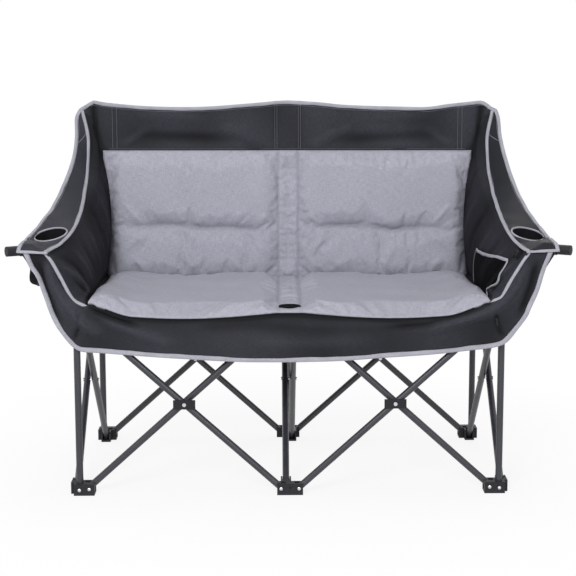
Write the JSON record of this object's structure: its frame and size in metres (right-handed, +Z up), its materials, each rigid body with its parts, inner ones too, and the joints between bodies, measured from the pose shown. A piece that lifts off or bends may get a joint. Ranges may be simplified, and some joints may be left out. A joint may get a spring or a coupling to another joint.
{
  "type": "folding camping loveseat",
  "caption": "Two-person folding camp seat with crossed steel tubes, padded sling seat and back, fabric arms with cup holders and a side pocket.",
  "frame": {"origin": "on the floor, at the middle of the footprint", "axes": "+X to the right as seen from the front, -Y towards the front, +Z up"},
  "size_m": [1.4114, 0.627, 0.976],
  "materials": {
    "frame_steel": "dark grey powder coat, satin",
    "black_plastic": "black moulded plastic, slight sheen",
    "bright_rivet": "bright plated rivet",
    "dark_cloth": "dark blue-grey coated weave",
    "grey_cloth": "light grey coated weave over padding",
    "mesh_cloth": "black open mesh"
  },
  "bodies": {
    "front_middle_foot": {"foot_front_middle": "black_plastic"},
    "rear_middle_foot": {"foot_rear_middle": "black_plastic", "pole_rear_middle": "frame_steel", "back_panel": "dark_cloth", "back_pad": "grey_cloth"},
    "front_middle_top": {"top_front_middle": "black_plastic", "seat_sling": "dark_cloth", "seat_pad": "grey_cloth", "seat_boss": "black_plastic", "front_panel": "dark_cloth"},
    "rear_middle_top": {"top_rear_middle": "black_plastic"},
    "middle_tube_from_front": {"tube_middle_from_front": "frame_steel", "rivet_middle": "bright_rivet"},
    "middle_tube_from_rear": {"tube_middle_from_rear": "frame_steel"},
    "front_left_long_tube": {"tube_front_left_long": "frame_steel", "rivet_front_left": "bright_rivet", "hub_plate_front_left": "black_plastic"},
    "front_left_short_tube": {"tube_front_left_short": "frame_steel"},
    "front_left_foot": {"foot_front_left": "black_plastic", "post_front_left": "frame_steel"},
    "front_left_top": {"top_front_left": "black_plastic"},
    "arm_front_left": {"arm_socket_left": "black_plastic", "arm_rod_left": "frame_steel", "arm_rod_cap_left": "black_plastic"},
    "side_left_tube_from_front": {"tube_side_left_from_front": "frame_steel", "rivet_side_left": "bright_rivet"},
    "side_left_tube_from_rear": {"tube_side_left_from_rear": "frame_steel"},
    "rear_left_tube_from_middle": {"tube_rear_left_from_middle": "frame_steel", "rivet_rear_left": "bright_rivet"},
    "rear_left_tube_from_corner": {"tube_rear_left_from_corner": "frame_steel"},
    "rear_left_foot": {"foot_rear_left": "black_plastic", "pole_rear_left": "frame_steel", "arm_cover_left": "dark_cloth", "cup_holder_left": "mesh_cloth"},
    "rear_left_top": {"top_rear_left": "black_plastic"},
    "front_right_long_tube": {"tube_front_right_long": "frame_steel", "rivet_front_right": "bright_rivet", "hub_plate_front_right": "black_plastic"},
    "front_right_short_tube": {"tube_front_right_short": "frame_steel"},
    "front_right_foot": {"foot_front_right": "black_plastic", "post_front_right": "frame_steel"},
    "front_right_top": {"top_front_right": "black_plastic"},
    "arm_front_right": {"arm_socket_right": "black_plastic", "arm_rod_right": "frame_steel", "arm_rod_cap_right": "black_plastic"},
    "side_right_tube_from_front": {"tube_side_right_from_front": "frame_steel", "rivet_side_right": "bright_rivet"},
    "side_right_tube_from_rear": {"tube_side_right_from_rear": "frame_steel"},
    "rear_right_tube_from_middle": {"tube_rear_right_from_middle": "frame_steel", "rivet_rear_right": "bright_rivet"},
    "rear_right_tube_from_corner": {"tube_rear_right_from_corner": "frame_steel"},
    "rear_right_foot": {"foot_rear_right": "black_plastic", "pole_rear_right": "frame_steel", "arm_cover_right": "dark_cloth", "cup_holder_right": "mesh_cloth", "side_pocket_right": "mesh_cloth"},
    "rear_right_top": {"top_rear_right": "black_plastic"}
  },
  "joints": [
    {"name": "fold", "type": "hinge", "parent": "front_middle_foot", "child": "front_left_long_tube", "pos_m": [-0.023, -0.27731, 0.017], "axis": [0, 1, 0], "range_deg": [0, 43], "deforming": ["seat_sling", "seat_pad", "front_panel", "back_panel", "back_pad", "arm_cover_left", "arm_cover_right", "cup_holder_left", "cup_holder_right", "side_pocket_right"]},
    {"name": "front_left_crossing", "type": "hinge", "parent": "front_left_long_tube", "child": "front_left_short_tube", "pos_m": [-0.267, -0.26706, 0.237], "axis": [0, -1, 0], "range_deg": [0, 86]},
    {"name": "front_left_foot_pivot", "type": "hinge", "parent": "front_left_short_tube", "child": "front_left_foot", "pos_m": [-0.511, -0.25681, 0.017], "axis": [0, 1, 0], "range_deg": [0, 43]},
    {"name": "front_left_top_pivot", "type": "hinge", "parent": "front_left_long_tube", "child": "front_left_top", "pos_m": [-0.511, -0.27731, 0.457], "axis": [0, -1, 0], "range_deg": [0, 43]},
    {"name": "arm_front_left_pivot", "type": "hinge", "parent": "front_left_long_tube", "child": "arm_front_left", "pos_m": [-0.61636, -0.27731, 0.552], "axis": [0, -1, 0], "range_deg": [0, 43]},
    {"name": "side_left_front_pivot", "type": "hinge", "parent": "front_left_foot", "child": "side_left_tube_from_front", "pos_m": [-0.54625, -0.23306, 0.017], "axis": [1, 0, 0], "range_deg": [0, 43]},
    {"name": "side_left_crossing", "type": "hinge", "parent": "side_left_tube_from_front", "child": "side_left_tube_from_rear", "pos_m": [-0.536, 0.01094, 0.237], "axis": [-1, 0, 0], "range_deg": [0, 86]},
    {"name": "front_right_long_pivot", "type": "hinge", "parent": "front_middle_foot", "child": "front_right_long_tube", "pos_m": [0.023, -0.27731, 0.017], "axis": [0, -1, 0], "range_deg": [0, 43]},
    {"name": "front_right_crossing", "type": "hinge", "parent": "front_right_long_tube", "child": "front_right_short_tube", "pos_m": [0.267, -0.26706, 0.237], "axis": [0, 1, 0], "range_deg": [0, 86]},
    {"name": "front_right_foot_pivot", "type": "hinge", "parent": "front_right_short_tube", "child": "front_right_foot", "pos_m": [0.511, -0.25681, 0.017], "axis": [0, -1, 0], "range_deg": [0, 43]},
    {"name": "front_right_top_pivot", "type": "hinge", "parent": "front_right_long_tube", "child": "front_right_top", "pos_m": [0.511, -0.27731, 0.457], "axis": [0, 1, 0], "range_deg": [0, 43]},
    {"name": "arm_front_right_pivot", "type": "hinge", "parent": "front_right_long_tube", "child": "arm_front_right", "pos_m": [0.61636, -0.27731, 0.552], "axis": [0, 1, 0], "range_deg": [0, 43]},
    {"name": "side_right_front_pivot", "type": "hinge", "parent": "front_right_foot", "child": "side_right_tube_from_front", "pos_m": [0.54625, -0.23306, 0.017], "axis": [1, 0, 0], "range_deg": [0, 43]},
    {"name": "side_right_crossing", "type": "hinge", "parent": "side_right_tube_from_front", "child": "side_right_tube_from_rear", "pos_m": [0.536, 0.01094, 0.237], "axis": [-1, 0, 0], "range_deg": [0, 86]},
    {"name": "front_middle_top_pivot", "type": "hinge", "parent": "front_left_short_tube", "child": "front_middle_top", "pos_m": [-0.023, -0.25681, 0.457], "axis": [0, 1, 0], "range_deg": [0, 43]},
    {"name": "middle_front_pivot", "type": "hinge", "parent": "front_middle_foot", "child": "middle_tube_from_front", "pos_m": [-0.01025, -0.23306, 0.017], "axis": [1, 0, 0], "range_deg": [0, 43]},
    {"name": "middle_crossing", "type": "hinge", "parent": "middle_tube_from_front", "child": "middle_tube_from_rear", "pos_m": [0, 0.01094, 0.237], "axis": [-1, 0, 0], "range_deg": [0, 86]},
    {"name": "rear_middle_foot_pivot", "type": "hinge", "parent": "middle_tube_from_rear", "child": "rear_middle_foot", "pos_m": [0.01025, 0.25494, 0.017], "axis": [1, 0, 0], "range_deg": [0, 43]},
    {"name": "rear_middle_top_pivot", "type": "hinge", "parent": "middle_tube_from_front", "child": "rear_middle_top", "pos_m": [-0.01025, 0.25494, 0.457], "axis": [-1, 0, 0], "range_deg": [0, 43]},
    {"name": "rear_left_middle_pivot", "type": "hinge", "parent": "rear_middle_foot", "child": "rear_left_tube_from_middle", "pos_m": [-0.023, 0.29919, 0.017], "axis": [0, 1, 0], "range_deg": [0, 43]},
    {"name": "rear_left_crossing", "type": "hinge", "parent": "rear_left_tube_from_middle", "child": "rear_left_tube_from_corner", "pos_m": [-0.267, 0.28894, 0.237], "axis": [0, -1, 0], "range_deg": [0, 86]},
    {"name": "rear_left_foot_pivot", "type": "hinge", "parent": "rear_left_tube_from_corner", "child": "rear_left_foot", "pos_m": [-0.511, 0.27869, 0.017], "axis": [0, 1, 0], "range_deg": [0, 43]},
    {"name": "rear_left_top_pivot", "type": "hinge", "parent": "rear_left_tube_from_middle", "child": "rear_left_top", "pos_m": [-0.511, 0.29919, 0.457], "axis": [0, -1, 0], "range_deg": [0, 43]},
    {"name": "rear_right_middle_pivot", "type": "hinge", "parent": "rear_middle_foot", "child": "rear_right_tube_from_middle", "pos_m": [0.023, 0.29919, 0.017], "axis": [0, -1, 0], "range_deg": [0, 43]},
    {"name": "rear_right_crossing", "type": "hinge", "parent": "rear_right_tube_from_middle", "child": "rear_right_tube_from_corner", "pos_m": [0.267, 0.28894, 0.237], "axis": [0, 1, 0], "range_deg": [0, 86]},
    {"name": "rear_right_foot_pivot", "type": "hinge", "parent": "rear_right_tube_from_corner", "child": "rear_right_foot", "pos_m": [0.511, 0.27869, 0.017], "axis": [0, -1, 0], "range_deg": [0, 43]},
    {"name": "rear_right_top_pivot", "type": "hinge", "parent": "rear_right_tube_from_middle", "child": "rear_right_top", "pos_m": [0.511, 0.29919, 0.457], "axis": [0, 1, 0], "range_deg": [0, 43]}
  ],
  "couplings": [
    {"joint": "front_left_crossing", "follows": "fold", "ratio": 2},
    {"joint": "front_left_foot_pivot", "follows": "fold", "ratio": 1},
    {"joint": "front_left_top_pivot", "follows": "fold", "ratio": 1},
    {"joint": "arm_front_left_pivot", "follows": "fold", "ratio": 1},
    {"joint": "side_left_front_pivot", "follows": "fold", "ratio": 1},
    {"joint": "side_left_crossing", "follows": "fold", "ratio": 2},
    {"joint": "front_right_long_pivot", "follows": "fold", "ratio": 1},
    {"joint": "front_right_crossing", "follows": "fold", "ratio": 2},
    {"joint": "front_right_foot_pivot", "follows": "fold", "ratio": 1},
    {"joint": "front_right_top_pivot", "follows": "fold", "ratio": 1},
    {"joint": "arm_front_right_pivot", "follows": "fold", "ratio": 1},
    {"joint": "side_right_front_pivot", "follows": "fold", "ratio": 1},
    {"joint": "side_right_crossing", "follows": "fold", "ratio": 2},
    {"joint": "front_middle_top_pivot", "follows": "fold", "ratio": 1},
    {"joint": "middle_front_pivot", "follows": "fold", "ratio": 1},
    {"joint": "middle_crossing", "follows": "fold", "ratio": 2},
    {"joint": "rear_middle_foot_pivot", "follows": "fold", "ratio": 1},
    {"joint": "rear_middle_top_pivot", "follows": "fold", "ratio": 1},
    {"joint": "rear_left_middle_pivot", "follows": "fold", "ratio": 1},
    {"joint": "rear_left_crossing", "follows": "fold", "ratio": 2},
    {"joint": "rear_left_foot_pivot", "follows": "fold", "ratio": 1},
    {"joint": "rear_left_top_pivot", "follows": "fold", "ratio": 1},
    {"joint": "rear_right_middle_pivot", "follows": "fold", "ratio": 1},
    {"joint": "rear_right_crossing", "follows": "fold", "ratio": 2},
    {"joint": "rear_right_foot_pivot", "follows": "fold", "ratio": 1},
    {"joint": "rear_right_top_pivot", "follows": "fold", "ratio": 1}
  ]
}
